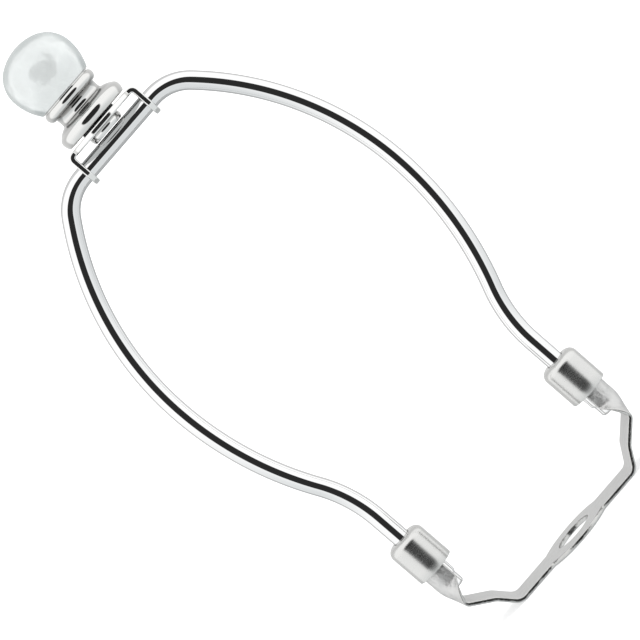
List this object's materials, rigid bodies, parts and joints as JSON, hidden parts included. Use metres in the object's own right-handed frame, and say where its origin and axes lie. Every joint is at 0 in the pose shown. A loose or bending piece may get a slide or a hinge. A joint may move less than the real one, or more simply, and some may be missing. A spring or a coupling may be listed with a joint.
{
  "type": "lamp harp",
  "caption": "Lamp harp: an oval wire bow on a strap saddle, with sliding ferrules, a tilting top bracket, a swivel stud and a ball finial that holds the shade.",
  "frame": {"origin": "centre of the saddle's pipe hole, on the saddle's underside", "axes": "+Z along the harp's axis up to the finial, X from leg to leg, Y the harp's depth"},
  "size_m": [0.0848, 0.022, 0.1787],
  "materials": {
    "plated_wire": "bright nickel-chrome plate on drawn steel wire",
    "plated_strap": "bright plate on stamped steel strap, its flat faces slightly grained",
    "plated_bracket": "bright plate on folded steel plate",
    "ferrule": "soft bright nickel plate on a drawn steel sleeve",
    "stud": "bright plate on a turned and threaded steel stud",
    "finial": "polished nickel plate on turned brass"
  },
  "bodies": {
    "saddle": {"saddle": "plated_strap"},
    "bow": {"bow": "plated_wire"},
    "left_ferrule": {"left_ferrule": "ferrule"},
    "right_ferrule": {"right_ferrule": "ferrule"},
    "top_bracket": {"top_bracket": "plated_bracket"},
    "stud": {"stud": "stud"},
    "finial": {"finial": "finial"}
  },
  "joints": [
    {"name": "bow_lift", "type": "slide", "parent": "saddle", "child": "bow", "axis": [0, 0, 1], "range_m": [0, 0.02]},
    {"name": "left_ferrule_slide", "type": "slide", "parent": "bow", "child": "left_ferrule", "axis": [0, 0, 1], "range_m": [0, 0.0093]},
    {"name": "right_ferrule_slide", "type": "slide", "parent": "bow", "child": "right_ferrule", "axis": [0, 0, 1], "range_m": [0, 0.0093]},
    {"name": "bracket_tilt", "type": "hinge", "parent": "bow", "child": "top_bracket", "pos_m": [0, 0, 0.14657], "axis": [1, 0, 0], "continuous": true},
    {"name": "stud_swivel", "type": "hinge", "parent": "top_bracket", "child": "stud", "pos_m": [0, 0, 0.1524], "axis": [0, 0, 1], "continuous": true},
    {"name": "finial_lift", "type": "slide", "parent": "stud", "child": "finial", "axis": [0, 0, 1], "range_m": [0, 0.011]}
  ]
}
